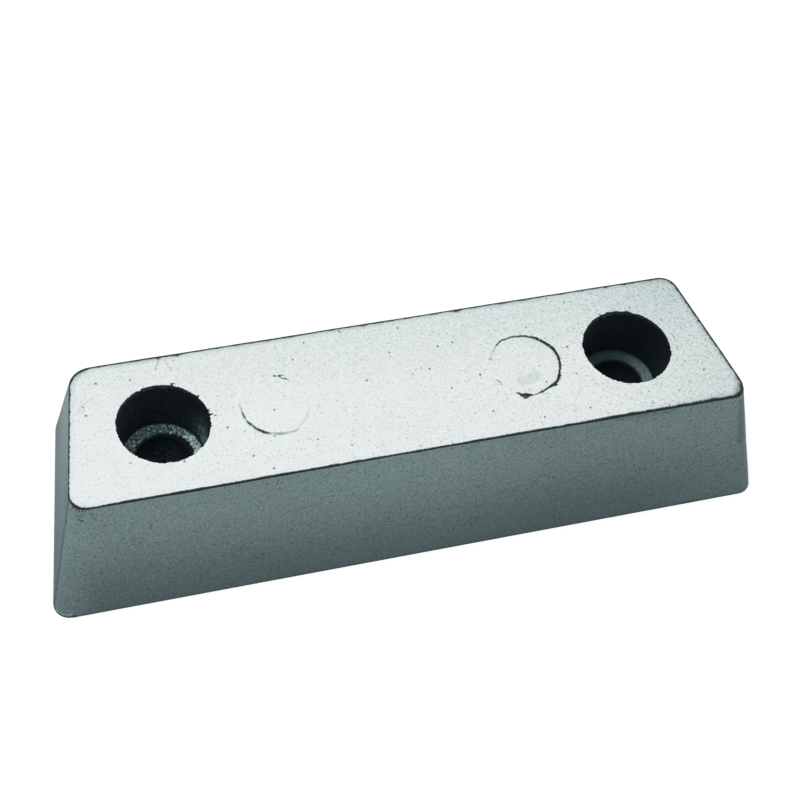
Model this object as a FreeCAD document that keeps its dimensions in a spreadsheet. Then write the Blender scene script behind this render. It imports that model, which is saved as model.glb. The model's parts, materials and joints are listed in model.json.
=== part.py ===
"""Sacrificial anode: one drafted bar, cast in zinc alloy, with two counterbored bolt holes.

The bar is a trapezoid in plan. Its long side faces the front (-Y) and its short side the back (+Y).
The origin is the middle of the flat bottom face, X runs along the length and Z points up.
"""
import FreeCAD, Part
import Sketcher
import math
import os

NODE = "anode_casting"

# Points of an edge and the two reference elements of every sketch, as constraints name them
START, END, CENTRE = range(1, 4)
HORIZONTAL_AXIS, VERTICAL_AXIS = range(-1, -3, -1)
ORIGIN_POINT = (HORIZONTAL_AXIS, START)

# Driving dimensions, in millimetres and degrees
DIMENSIONS = [
    ("front_length", 155.0, "long side of the bottom face"),
    ("back_length", 136.0, "short side of the bottom face"),
    ("bar_width", 50.0, "bottom face, from front to back"),
    ("bar_height", 27.0, "bottom face to top face"),
    ("side_draft", 17.0, "lean of the front and back faces"),
    ("end_draft", 7.5, "lean of the two end faces"),
    ("front_corner_radius", 3.4, "round of the two upright corners at the front"),
    ("back_right_corner_radius", 3.8, "round of the upright corner at the back right"),
    ("back_left_corner_radius", 4.8, "round of the upright corner at the back left"),
    ("top_edge_radius", 0.4, "round along the edge of the top face"),
    ("hole_pitch", 100.0, "between the axes of the two bolt holes"),
    ("bolt_hole_diameter", 11.0, "clearance hole below the seat"),
    ("seat_diameter", 17.2, "flat seat under the bolt head"),
    ("mouth_diameter", 19.1, "counterbore at the top face"),
    ("seat_depth", 12.5, "top face down to the seat"),
    ("pin_pitch", 54.0, "between the two marks of the mould's pins"),
    ("pin_diameter", 14.6, "round mark that a pin leaves"),
    ("pin_tilt", 2.4, "lean of a mark against the top face"),
    ("left_pin_lift", 0.25, "top face up to the middle of the left mark"),
    ("left_pin_turn", -140.0, "direction in which the left mark rises"),
    ("right_pin_sink", 0.3, "top face down to the middle of the right mark"),
    ("right_pin_turn", 180.0, "direction in which the right mark rises"),
    ("overrun", 2.0, "length by which a cut or a root passes a face"),
]

doc = FreeCAD.newDocument("sacrificial_anode")
sheet = doc.addObject("Spreadsheet::Sheet", "Sizes")
for row, (alias, value, meaning) in enumerate(DIMENSIONS, start=1):
    sheet.set(f"A{row}", alias)
    sheet.set(f"B{row}", str(value))
    sheet.setAlias(f"B{row}", alias)
    sheet.set(f"C{row}", meaning)
doc.recompute()

body = doc.addObject("PartDesign::Body", "AnodeBody")
body.Label = NODE


def origin_plane(role):
    """One of the body's own origin planes, such as XY_Plane."""
    return next(item for item in body.Origin.OriginFeatures if item.Role == role)


def new_sketch(name, role):
    """A sketch that lies on one of the body's origin planes."""
    sketch = body.newObject("Sketcher::SketchObject", name)
    sketch.AttachmentSupport = [(origin_plane(role), "")]
    sketch.MapMode = "FlatFace"
    return sketch


def closed_outline(sketch, corners):
    """Joins corners by straight edges, end to end, and returns the numbers of the edges."""
    points = [FreeCAD.Vector(*corner, 0) for corner in corners]
    following = points[1:] + points[:1]
    edges = [sketch.addGeometry(Part.LineSegment(a, b), False) for a, b in zip(points, following)]
    for edge, after in zip(edges, edges[1:] + edges[:1]):
        sketch.addConstraint(Sketcher.Constraint("Coincident", edge, END, after, START))
    return edges


def bind(sketch, kind, places, expression):
    """Adds a dimension to a sketch and ties it to the sheet."""
    value = float(sketch.evalExpression(expression))
    number = sketch.addConstraint(Sketcher.Constraint(kind, *places, value))
    sketch.setExpression(f"Constraints[{number}]", expression)


def finish(feature, name):
    """Recomputes the model after a feature and stops if the feature failed."""
    doc.recompute()
    if "Invalid" in feature.State or "Error" in feature.State or not feature.Shape.isValid():
        raise RuntimeError(f"{name} failed")
    return feature


def faces_turned(shape, direction):
    """Names of the flat faces whose outward normal points mostly along a direction."""
    names = []
    for number, face in enumerate(shape.Faces, start=1):
        if face.Surface.TypeId == "Part::GeomPlane":
            u, v = face.Surface.parameter(face.CenterOfMass)
            if face.normalAt(u, v).dot(direction) > math.cos(math.radians(45)):
                names.append(f"Face{number}")
    return names


UP = FreeCAD.Vector(0, 0, 1)
BACKWARD = FreeCAD.Vector(0, 1, 0)
RIGHTWARD = FreeCAD.Vector(1, 0, 0)

# Blank: the bottom outline, a trapezoid that is even about the YZ plane, carried up to the full height
half_front = float(sheet.front_length) / 2
half_back = float(sheet.back_length) / 2
half_width = float(sheet.bar_width) / 2
outline = new_sketch("BottomOutline", "XY_Plane")
front, right, back, left = closed_outline(outline, [
    (-half_front, -half_width),
    (half_front, -half_width),
    (half_back, half_width),
    (-half_back, half_width),
])
outline.addConstraint(Sketcher.Constraint("Symmetric", front, START, front, END, VERTICAL_AXIS))
outline.addConstraint(Sketcher.Constraint("Symmetric", back, START, back, END, VERTICAL_AXIS))
bind(outline, "DistanceX", (front, START, front, END), "Sizes.front_length")
bind(outline, "DistanceX", (back, END, back, START), "Sizes.back_length")
bind(outline, "DistanceY", (front, START, *ORIGIN_POINT), "Sizes.bar_width / 2")
bind(outline, "DistanceY", (*ORIGIN_POINT, back, START), "Sizes.bar_width / 2")

blank = body.newObject("PartDesign::Pad", "Blank")
blank.Profile = outline
blank.setExpression("Length", "Sizes.bar_height")
finish(blank, "Blank")


def draft(name, base, directions, expression):
    """Leans the faces that point along the directions, so that the casting leaves its mould."""
    feature = body.newObject("PartDesign::Draft", name)
    leaning = [face for direction in directions for face in faces_turned(base.Shape, direction)]
    feature.Base = (base, leaning)
    feature.NeutralPlane = (base, faces_turned(base.Shape, -UP))
    feature.setExpression("Angle", expression)
    finish(feature, name)
    if feature.Shape.Volume > base.Shape.Volume:
        feature.Reversed = True
        finish(feature, name)
    return feature


sides = draft("SideDraft", blank, (BACKWARD, -BACKWARD), "Sizes.side_draft")
ends = draft("EndDraft", sides, (RIGHTWARD, -RIGHTWARD), "Sizes.end_draft")



def round_corners(name, base, is_wanted, expression):
    """Rounds the sharp upright edges whose middle is where is_wanted says."""
    upright = [
        f"Edge{number}"
        for number, edge in enumerate(base.Shape.Edges, start=1)
        if edge.BoundBox.ZLength > float(sheet.bar_height) / 2 and is_wanted(edge.CenterOfMass)
    ]
    feature = body.newObject("PartDesign::Fillet", name)
    feature.Base = (base, upright)
    feature.setExpression("Radius", expression)
    return finish(feature, name)


# Upright corners: the back ones filled less well in the mould, each in its own way
front_corners = round_corners(
    "FrontCorners", ends, lambda middle: middle.y < 0, "Sizes.front_corner_radius"
)
back_right_corner = round_corners(
    "BackRightCorner",
    front_corners,
    lambda middle: middle.y > 0 and middle.x > 0,
    "Sizes.back_right_corner_radius",
)
corners = round_corners(
    "BackLeftCorner",
    back_right_corner,
    lambda middle: middle.y > 0 and middle.x < 0,
    "Sizes.back_left_corner_radius",
)

# Top edge: the outer border of the top face, corners included
top_face = max(corners.Shape.Faces, key=lambda face: face.CenterOfMass.z)
border = [
    f"Edge{number}"
    for number, edge in enumerate(corners.Shape.Edges, start=1)
    if any(edge.isSame(other) for other in top_face.OuterWire.Edges)
]
top_edge = body.newObject("PartDesign::Fillet", "TopEdge")
top_edge.Base = (corners, border)
top_edge.setExpression("Radius", "Sizes.top_edge_radius")
finish(top_edge, "TopEdge")

# Left bolt hole: half of its section, turned about its own axis.
# The counterbore narrows towards the seat, because the core that forms it has draft.
axis_x = -float(sheet.hole_pitch) / 2
below = -float(sheet.overrun)
above = float(sheet.bar_height) + float(sheet.overrun)
seat_z = float(sheet.bar_height) - float(sheet.seat_depth)
bolt_x = axis_x - float(sheet.bolt_hole_diameter) / 2
seat_x = axis_x - float(sheet.seat_diameter) / 2
mouth_x = axis_x - float(sheet.mouth_diameter) / 2
section = new_sketch("HoleSection", "XZ_Plane")
floor, bolt_wall, seat, seat_wall, mouth_wall, lid, middle = closed_outline(section, [
    (axis_x, below),
    (bolt_x, below),
    (bolt_x, seat_z),
    (seat_x, seat_z),
    (mouth_x, float(sheet.bar_height)),
    (mouth_x, above),
    (axis_x, above),
])
axis_line = Part.LineSegment(FreeCAD.Vector(axis_x, below, 0), FreeCAD.Vector(axis_x, above, 0))
axis = section.addGeometry(axis_line, True)
section.addConstraint(Sketcher.Constraint("Coincident", axis, START, floor, START))
section.addConstraint(Sketcher.Constraint("Coincident", axis, END, middle, START))
for edge in (floor, seat, lid):
    section.addConstraint(Sketcher.Constraint("Horizontal", edge))
for edge in (bolt_wall, mouth_wall, middle):
    section.addConstraint(Sketcher.Constraint("Vertical", edge))
bind(section, "DistanceX", (floor, START, *ORIGIN_POINT), "Sizes.hole_pitch / 2")
bind(section, "DistanceX", (floor, END, floor, START), "Sizes.bolt_hole_diameter / 2")
bind(section, "DistanceX", (seat, END, floor, START), "Sizes.seat_diameter / 2")
bind(section, "DistanceX", (seat_wall, END, floor, START), "Sizes.mouth_diameter / 2")
bind(section, "DistanceY", (floor, START, *ORIGIN_POINT), "Sizes.overrun")
bind(section, "DistanceY", (*ORIGIN_POINT, seat, START), "Sizes.bar_height - Sizes.seat_depth")
bind(section, "DistanceY", (*ORIGIN_POINT, seat_wall, END), "Sizes.bar_height")
bind(section, "DistanceY", (seat_wall, END, mouth_wall, END), "Sizes.overrun")

left_hole = body.newObject("PartDesign::Groove", "LeftHole")
left_hole.Profile = section
left_hole.ReferenceAxis = (section, ["Axis0"])
left_hole.Angle = 360
finish(left_hole, "LeftHole")

# Right bolt hole: the left one, mirrored in the middle of the bar
both_holes = body.newObject("PartDesign::Mirrored", "BothHoles")
both_holes.Originals = [left_hole]
both_holes.MirrorPlane = (origin_plane("YZ_Plane"), [""])
body.Tip = both_holes
finish(both_holes, "BothHoles")


def pin_mark_outline(name, place_x, place_z, turn):
    """A circle that lies almost in the top face and leans by pin_tilt.

    It rises in the direction turn, an alias of the sheet, so it hinges on the level line at right
    angles to that direction.
    """
    sketch = new_sketch(name, "XY_Plane")
    shape = Part.Circle(FreeCAD.Vector(0, 0, 0), UP, float(sheet.pin_diameter) / 2)
    circle = sketch.addGeometry(shape, False)
    sketch.addConstraint(Sketcher.Constraint("Coincident", circle, CENTRE, *ORIGIN_POINT))
    bind(sketch, "Diameter", (circle,), "Sizes.pin_diameter")
    sketch.setExpression(".AttachmentOffset.Base.x", place_x)
    sketch.setExpression(".AttachmentOffset.Base.z", place_z)
    sketch.setExpression(".AttachmentOffset.Rotation.Angle", "Sizes.pin_tilt")
    sketch.setExpression(".AttachmentOffset.Rotation.Axis.x", f"sin(Sizes.{turn} * 1 deg)")
    sketch.setExpression(".AttachmentOffset.Rotation.Axis.y", f"-cos(Sizes.{turn} * 1 deg)")
    sketch.setExpression(".AttachmentOffset.Rotation.Axis.z", "0")
    return sketch


# Left pin mark: a disc that stands proud of the top face on one side, with its root inside the bar
raised = pin_mark_outline(
    "LeftMarkOutline", "-Sizes.pin_pitch / 2", "Sizes.bar_height + Sizes.left_pin_lift", "left_pin_turn"
)
left_mark = body.newObject("PartDesign::Pad", "LeftMark")
left_mark.Profile = raised
left_mark.Reversed = True
left_mark.setExpression("Length", "Sizes.overrun")
finish(left_mark, "LeftMark")
if left_mark.Shape.Volume <= both_holes.Shape.Volume:
    raise RuntimeError("LeftMark adds nothing")

# Right pin mark: a disc that is sunk into the top face on one side, cut from there upwards
sunk = pin_mark_outline(
    "RightMarkOutline", "Sizes.pin_pitch / 2", "Sizes.bar_height - Sizes.right_pin_sink", "right_pin_turn"
)
right_mark = body.newObject("PartDesign::Pocket", "RightMark")
right_mark.Profile = sunk
right_mark.Reversed = True
right_mark.setExpression("Length", "Sizes.overrun")
finish(right_mark, "RightMark")
if right_mark.Shape.Volume >= left_mark.Shape.Volume:
    raise RuntimeError("RightMark cuts nothing")
body.Tip = right_mark
doc.recompute()

# Checks on the finished casting, then the file
for item in doc.Objects:
    if "Invalid" in item.State or "Error" in item.State:
        raise RuntimeError(f"{item.Label} is {item.State}")
casting = body.Shape
if casting.isNull() or not casting.isValid() or len(casting.Solids) != 1:
    raise RuntimeError(f"{NODE} is not one valid solid")
os.makedirs("parts", exist_ok=True)
casting.exportStep(f"parts/{NODE}.step")
box = casting.optimalBoundingBox(False, False)
print(f"{NODE}: {box.XLength:.2f} x {box.YLength:.2f} x {box.ZLength:.2f} mm, {casting.Volume:.0f} mm3")
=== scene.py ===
# %% [markdown]
# # A sacrificial anode, cast in zinc
#
# The real object is one bar of zinc alloy, poured or pressed into a steel mould. Nothing on it is
# separate, so the whole lesson is about one closed surface: a drafted block with two counterbored
# bolt holes, two round marks left by the mould's pins, and the skin that casting gives it.
# The first cell loads the solid model. It fixes the place and the size of everything that follows.

# %% The frame
import json
import math

import bpy
import numpy as np
from mathutils import Matrix, Vector


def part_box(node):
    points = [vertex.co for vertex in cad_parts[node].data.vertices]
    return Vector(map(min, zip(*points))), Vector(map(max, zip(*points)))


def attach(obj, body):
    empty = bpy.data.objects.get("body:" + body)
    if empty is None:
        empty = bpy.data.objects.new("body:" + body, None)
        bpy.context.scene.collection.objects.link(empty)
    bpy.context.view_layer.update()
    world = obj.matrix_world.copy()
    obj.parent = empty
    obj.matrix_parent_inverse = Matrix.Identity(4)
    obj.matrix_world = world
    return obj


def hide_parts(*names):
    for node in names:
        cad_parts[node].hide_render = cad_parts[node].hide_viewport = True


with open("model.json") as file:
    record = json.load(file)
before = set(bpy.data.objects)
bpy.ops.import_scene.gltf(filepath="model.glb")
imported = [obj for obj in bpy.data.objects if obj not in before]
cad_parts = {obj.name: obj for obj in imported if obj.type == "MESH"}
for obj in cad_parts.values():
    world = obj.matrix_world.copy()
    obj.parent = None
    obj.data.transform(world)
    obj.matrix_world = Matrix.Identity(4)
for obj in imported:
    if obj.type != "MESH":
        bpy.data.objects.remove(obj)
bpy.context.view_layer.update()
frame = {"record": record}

MM = 0.001
NODE = "anode_casting"
low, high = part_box(NODE)
print("solid model from", [round(v / MM, 1) for v in low], "to", [round(v / MM, 1) for v in high], "mm")

# %% [markdown]
# ## Sizes
#
# All shapes are worked out in millimetres and turned into metres at the very end. The places of the
# holes come from the record's bolt holes, so they can't drift from the solid. The rest are the
# casting's own driving sizes. Draft is the lean that lets a casting slide out of its mould: it is
# larger on the long sides than on the ends.

# %% Driving sizes
mounts = {mount["name"]: mount for mount in frame["record"]["mounts"]}
bolt_hole = mounts["left_bolt_hole"]
HOLE_X = abs(bolt_hole["pos_m"][0]) / MM
BOLT_RADIUS = bolt_hole["dims"]["r_mm"]
SEAT_HEIGHT = bolt_hole["dims"]["length_mm"]
BAR_WIDTH = (high[1] - low[1]) / MM
BAR_HEIGHT = 27.0
FRONT_LENGTH = 155.0
BACK_LENGTH = 136.0
SIDE_DRAFT = math.radians(17.0)
END_DRAFT = math.radians(7.5)
EDGE_RADIUS = 0.4
MOUTH_RADIUS = 9.55
SEAT_RADIUS = 8.6
print(f"bar {BAR_WIDTH:.1f} mm wide, holes at x = +-{HOLE_X:.1f} mm, seat at {SEAT_HEIGHT:.1f} mm")

# %% [markdown]
# ## Unevenness
#
# No cast face is truly flat. A handful of cosine waves that run in random directions adds up to a
# smooth, endless unevenness. A Displace modifier with a noise texture could do it too, but the waves
# can be asked for their height at any point, and the edges and the holes need that. They are the
# same on every run, because the random directions come from a fixed seed.

# %% Smooth unevenness
WAVES = 14


def ripple(points, wavelength, seed):
    """Unevenness of about -1 to 1 at points of shape (..., 3).

    Formula: the sum of WAVES cosines of (direction . point + phase), each direction a random one of
    length 2 pi / wavelength times 0.7 to 1.3, divided by twice the root of half their number.
    """
    random = np.random.default_rng(seed)
    direction = random.normal(size=(3, WAVES))
    direction /= np.linalg.norm(direction, axis=0)
    direction *= 2 * math.pi / wavelength * random.uniform(0.7, 1.3, WAVES)
    phase = random.uniform(0, 2 * math.pi, WAVES)
    return np.cos(points @ direction + phase).sum(-1) / math.sqrt(WAVES / 2) / 2


def jagged(turn, low_count, high_count, seed):
    """Raggedness of about -1 to 1 round a circle, for angles in radians.

    Formula: the sum of sines of (count * turn + phase), for every whole count from low_count to
    high_count, divided by the root of their number. Whole counts make it close on itself.
    """
    random = np.random.default_rng(seed)
    counts = np.arange(low_count, high_count + 1)
    phase = random.uniform(0, 2 * math.pi, counts.size)
    return np.sin(np.asarray(turn)[..., None] * counts + phase).sum(-1) / math.sqrt(counts.size)


sample = ripple(np.random.default_rng(1).uniform(-50, 50, (4000, 3)), 10.0, 2)
print(f"unevenness: spread {sample.std():.2f}, reach {np.abs(sample).max():.2f}")

# %% [markdown]
# ## The wall round the bar
#
# Seen from above, the bar is a trapezoid with round corners. An outline with round corners is every
# point at one distance from a smaller, sharp trapezoid. So one number, the place along the outline,
# picks a point on the small trapezoid and a direction, and the outline is that point plus the corner
# radius in that direction. With height as the second number this gives the whole drafted wall. A
# cube could be tapered and bevelled instead, but its sides and ends would all lean alike.

# %% Outline of the bar at any height
END_TURN = math.atan2((FRONT_LENGTH - BACK_LENGTH) / 2, BAR_WIDTH)
ROUND = 8
KNOTS = np.arange(ROUND + 1.0)
RIGHT_ANGLE = math.pi / 2
KNOT_TURNS = np.array([
    -RIGHT_ANGLE, -RIGHT_ANGLE, END_TURN, END_TURN, RIGHT_ANGLE, RIGHT_ANGLE,
    math.pi - END_TURN, math.pi - END_TURN, 3 * RIGHT_ANGLE,
])
KNOT_RADII = np.array([3.4, 3.4, 3.4, 3.8, 3.8, 4.8, 4.8, 3.4, 3.4])
KNOT_X = np.array([-1, 1, 1, 1, 1, -1, -1, -1, -1])
KNOT_Y = np.array([-1, -1, -1, 1, 1, 1, 1, -1, -1])


def centre_knots(height):
    """Centres of the corner arcs at a height, one for each knot of the outline.

    Formula: the front and back lines move inwards by height * tan(SIDE_DRAFT) + the corner's radius,
    the end lines by height * tan(END_DRAFT) + the corner's radius, and the arcs' centres are where
    they cross.
    """
    y = KNOT_Y * (BAR_WIDTH / 2 - height * math.tan(SIDE_DRAFT) - KNOT_RADII)
    end_inset = (height * math.tan(END_DRAFT) + KNOT_RADII) / math.cos(END_TURN)
    x = KNOT_X * (FRONT_LENGTH / 2 - (y + BAR_WIDTH / 2) * math.tan(END_TURN) - end_inset)
    return np.stack([x, y], axis=-1)


BASE_CENTRES = centre_knots(0.0)
LEAN = centre_knots(1.0) - BASE_CENTRES


def between_knots(place, values):
    """Straight interpolation between the knots.

    Places 0 to 1 are the front side, 1 to 2 the corner after it, and so on round the bar.
    """
    around = np.mod(place, ROUND)
    return np.stack([np.interp(around, KNOTS, column) for column in values.T], axis=-1)


def normal(place):
    """Outward direction in plan, (cos turn, sin turn)."""
    turn = np.interp(np.mod(place, ROUND), KNOTS, KNOT_TURNS)
    return np.stack([np.cos(turn), np.sin(turn)], axis=-1)


def wall(place, height):
    """Plan position on the drafted wall: arc centre + height * lean + corner radius * normal."""
    height = np.asarray(height)[..., None]
    radius = between_knots(place, KNOT_RADII[:, None])
    return between_knots(place, BASE_CENTRES) + height * between_knots(place, LEAN) + radius * normal(place)


def lean_angle(place):
    """Angle between the wall and the upright: arctangent of minus (lean . normal)."""
    return np.arctan(-(between_knots(place, LEAN) * normal(place)).sum(-1))


corner = wall(np.array([0.0, 1.0, 4.0]), BAR_HEIGHT)
print("straight front edge of the top from", corner[0].round(2), "to", corner[1].round(2))

# %% [markdown]
# ## The edge of the top face
#
# A real casting has no sharp edge at the top, because the mould fills its corners badly. The radius
# isn't even: it is larger where the corner at the front right and the one at the back left didn't
# fill. A Bevel modifier gives one radius, so the round is worked out as an arc whose radius changes
# along the outline. The flat of the top face ends where this round begins.

# %% Round top edge
CORNER_SWELL = {1.5: 0.75, 5.3: 0.55}
SWELL_WIDTH = 0.55


def swelling(place):
    """How badly a corner filled: a bell curve at each corner of CORNER_SWELL, 0 elsewhere."""
    away = np.mod(place, ROUND)
    return sum(
        swell * np.exp(-((away - middle) / SWELL_WIDTH) ** 2)
        for middle, swell in CORNER_SWELL.items()
    )


def edge_radius(place):
    """Radius of the top edge: EDGE_RADIUS, uneven by a fifth, plus the swelling at two corners."""
    along = np.concatenate([wall(place, BAR_HEIGHT), np.zeros(np.shape(place) + (1,))], axis=-1)
    return EDGE_RADIUS * (1 + 0.2 * ripple(along, 9.0, 11)) + swelling(place)


def round_edge(place, turned):
    """(inset, drop) of the round top edge, turned from 0 at the flat to 1 at the wall.

    Formula: an arc of radius r that touches the flat and the wall. With the angle a from 0 to the
    right angle less the wall's lean, inset = r * (tan(45 deg - lean / 2) - sin a), drop = r * (1 - cos a).
    """
    lean = lean_angle(place)
    angle = turned * (RIGHT_ANGLE - lean)
    radius = edge_radius(place)
    return radius * (np.tan(math.pi / 4 - lean / 2) - np.sin(angle)), radius * (1 - np.cos(angle))


RIM_BAND = 1.3


def face_border(place):
    """Plan position where the top face's own grids end: RIM_BAND inside the start of the round edge."""
    inset, _ = round_edge(place, 0.0)
    return wall(place, BAR_HEIGHT) - (inset + RIM_BAND)[..., None] * normal(place)


print("edge radius from", edge_radius(np.linspace(0, 8, 400)).min().round(2), "to",
      edge_radius(np.linspace(0, 8, 400)).max().round(2), "mm")

# %% [markdown]
# ## Cells of the top face
#
# A face with round things in it is best cut into cells, one round thing in each. A Boolean could cut
# the holes instead, but it leaves long thin triangles that shade badly. The mesh of a cell runs in
# rings from the circle in its middle to the cell's border, so its points lie closest together at
# the circle, where the detail is. There are four: hole, mark, mark, hole. Two neighbours share the
# points on the line between them, because both are met by rays that leave the two centres at
# mirrored angles.

# %% Cells and the points round them
MARK_X = 27.0
FENCE_X = (HOLE_X + MARK_X) / 2
CELL_CENTRES = np.array([(-HOLE_X, 0.0), (-MARK_X, 0.0), (MARK_X, 0.0), (HOLE_X, 0.0)])
FENCE_POINTS = 96
MIDDLE_POINTS = 50
LONG_POINTS = 78
OUTER_POINTS = 230
DENSE_POINTS = 6001
front_left_x, front_right_x, _, _, back_right_x, back_left_x = centre_knots(BAR_HEIGHT)[:6, 0]


def front_place(x):
    """Place along the outline of a point on the front side of the top face."""
    return (x - front_left_x) / (front_right_x - front_left_x)


def back_place(x):
    """Place along the outline of a point on the back side of the top face."""
    return 4 + (back_right_x - x) / (back_right_x - back_left_x)


def even_rays(centre, start, stop, count):
    """count places from start towards stop that are met by evenly turned rays from a centre.

    Formula: the direction of a dense row of places is worked out, and turned round by interpolation.
    """
    passed = KNOTS[(KNOTS > start) & (KNOTS < stop)]
    dense = np.unique(np.concatenate([np.linspace(start, stop, DENSE_POINTS), passed]))
    offset = face_border(dense) - centre
    turn = np.unwrap(np.arctan2(offset[:, 1], offset[:, 0]))
    return np.interp(np.linspace(turn[0], turn[-1], count + 1), turn, dense)[:-1]


left_hole, left_mark, right_mark, right_hole = CELL_CENTRES
runs = [
    even_rays(left_mark, front_place(-FENCE_X), front_place(0.0), LONG_POINTS),
    even_rays(right_mark, front_place(0.0), front_place(FENCE_X), LONG_POINTS),
    even_rays(right_hole, front_place(FENCE_X), back_place(FENCE_X), OUTER_POINTS),
    even_rays(right_mark, back_place(FENCE_X), back_place(0.0), LONG_POINTS),
    even_rays(left_mark, back_place(0.0), back_place(-FENCE_X), LONG_POINTS),
    even_rays(left_hole, back_place(-FENCE_X), ROUND + front_place(-FENCE_X), OUTER_POINTS),
]
ring = np.concatenate(runs)
starts = np.cumsum([0] + [run.size for run in runs])
print("points round the bar:", ring.size)

# %% [markdown]
# ## Borders of the cells
#
# A fence is the straight line between two cells, from the front side to the back side. Its points
# lie where evenly turned rays from the nearer centre cross it. Together with the runs of outline
# points between the fences, they close the border of each cell. The function takes any outline, so
# the top face and the bottom face get matching cells from the same few lines.

# %% Borders of the cells
def ray_fractions(distance, count):
    """Where evenly turned rays cross a fence, as fractions of its length. Formula: distance * tan(turn)."""
    reach = -face_border(np.array([0.5]))[0, 1]
    turn = math.atan2(reach, distance)
    return (distance * np.tan(np.linspace(-turn, turn, count + 1)) + reach) / (2 * reach)


side_fence = ray_fractions(HOLE_X - FENCE_X, FENCE_POINTS)
middle_fence = ray_fractions(MARK_X, MIDDLE_POINTS)


def cell_borders(outline_points):
    """The closed border of each cell, counter-clockwise, for any ring of outline points.

    A fence runs straight from a point on the front side to one on the back side, divided by the
    same fractions at every level of the bar.
    """
    front_left, middle, front_right, back_right, back_middle, back_left = outline_points[starts[:-1]]
    run = [outline_points[a:b] for a, b in zip(starts[:-1], starts[1:])]

    def fence(front, back, fractions):
        return front + fractions[:, None] * (back - front)

    left_fence = fence(front_left, back_left, side_fence)
    centre_fence = fence(middle, back_middle, middle_fence)
    right_fence = fence(front_right, back_right, side_fence)
    return [
        np.concatenate([left_fence[:-1], run[5]]),
        np.concatenate([run[0], centre_fence[:-1], run[4], left_fence[:0:-1]]),
        np.concatenate([run[1], right_fence[:-1], run[3], centre_fence[:0:-1]]),
        np.concatenate([run[2], right_fence[:0:-1]]),
    ]


borders = cell_borders(face_border(ring))
turns = [np.arctan2(*(border - centre).T[::-1]) for border, centre in zip(borders, CELL_CENTRES)]
print("points round the cells:", [border.shape[0] for border in borders])

# %% [markdown]
# ## One mesh from many grids
#
# Each part of the surface is a grid of rows and columns. A small collector stacks the grids, keeps
# a few numbers beside every point, and in the end joins the points that two grids share. The
# numbers say what a point belongs to, such as the wall of a hole, and the material reads them.

# %% Collector of grids
MASKS = ("side", "end", "line", "shade", "hollow", "bare", "seam")
grids = []


def add_grid(points, flip=False, **masks):
    """Adds a grid of shape (rows, columns, 3) that closes on itself along its columns.

    Rows that run down or outwards, with columns counter-clockwise, face outwards; flip turns them
    round. A mask is a number, or one number for each row, or one for each point.
    """
    rows, columns = points.shape[:2]
    number = np.arange(rows * columns).reshape(rows, columns)
    following = np.roll(number, -1, axis=1)
    quads = np.stack([number[:-1], number[1:], following[1:], following[:-1]], axis=-1).reshape(-1, 4)
    if flip:
        quads = quads[:, ::-1]
    values = np.zeros((rows, columns, len(MASKS)))
    for name, mask in masks.items():
        mask = np.asarray(mask, float)
        values[..., MASKS.index(name)] = mask[:, None] if mask.ndim == 1 else mask
    grids.append((points.reshape(-1, 3), quads, values.reshape(-1, len(MASKS))))


def lifted(plan, height):
    """Puts a height beside plan positions of shape (..., 2)."""
    return np.concatenate([plan, np.broadcast_to(height, plan.shape[:-1])[..., None]], axis=-1)


def smooth(value, start, stop):
    """0 before start and 1 after stop, with the smooth step 3 t^2 - 2 t^3 between them."""
    t = np.clip((value - start) / (stop - start), 0, 1)
    return t * t * (3 - 2 * t)


print("numbers kept beside each point:", ", ".join(MASKS))

# %% [markdown]
# ## The outer wall
#
# The wall's grid has one column for every point round the bar. Its first rows lie in a narrow band
# of the top face, the next ones turn over the round edge, run down the drafted wall and turn under
# the bottom edge. A dark line follows the top edge, a painted dark reflection, and at some places
# the face beside it is painted grey, a painted shade. The mask "line" says how near a point is to
# the edge, and "shade" how strong the painted shade is, so the rows lie close together there.
# Neither is even round the bar: each stop gives a place on the outline, the line's reach on the face
# and on the wall in millimetres, and the strength of the grey. The line could be painted on by hand,
# but worked out from the distance to the edge, it stays on the edge when a size changes. The distance
# counts more on the wall and less on the round, and a line whose reach on the wall is small is
# thinned there as well.

# %% Outer wall
BAND_INSETS = np.array([1.3, 0.8, 0.55, 0.35, 0.17])
EDGE_ROWS = 7
WALL_ROWS = 17
FOOT_RADIUS = 0.12
FOOT_ROWS = 3
WALL_CROWDING = 1.8
WALL_UNEVENNESS = 0.06
TOP_UNEVENNESS = 0.045
FINER_SHARE = 0.4
FADE_ON_WALL = 1.9
FADE_ON_ROUND = 0.6
THIN_REACH = 0.55
THINNING = 2.5
SHADE_FADE = 1.4
EDGE_STOPS = np.array([
    (0.0, 0.38, 0.42, 0.06), (0.15, 0.56, 0.55, 0.03), (0.32, 0.60, 0.50, 0.02), (0.45, 0.58, 0.36, 0.02),
    (0.6, 0.52, 0.46, 0.02), (0.8, 0.50, 0.50, 0.03), (0.95, 0.54, 0.43, 0.10), (1.1, 0.50, 0.44, 0.34),
    (1.3, 0.56, 0.60, 0.56), (1.6, 0.66, 0.80, 0.66), (1.8, 1.00, 0.95, 0.44), (2.1, 1.45, 1.60, 0.30),
    (3.9, 1.45, 1.60, 0.30), (4.1, 1.20, 1.40, 0.26), (4.9, 1.15, 1.40, 0.26), (5.25, 1.25, 1.50, 0.42),
    (5.7, 1.00, 1.20, 0.35), (6.1, 0.45, 0.45, 0.10), (6.9, 0.42, 0.42, 0.06), (7.3, 0.46, 0.50, 0.10),
    (7.6, 0.44, 0.56, 0.18), (7.85, 0.42, 0.52, 0.12), (8.0, 0.38, 0.42, 0.06),
])


def between_stops(place, column):
    """Straight interpolation between the stops of one column of EDGE_STOPS.

    Columns 1 and 2 are the line's reach on the face and on the wall, 3 is the strength of the grey.
    """
    return np.interp(np.mod(place, ROUND), EDGE_STOPS[:, 0], EDGE_STOPS[:, column])


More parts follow.
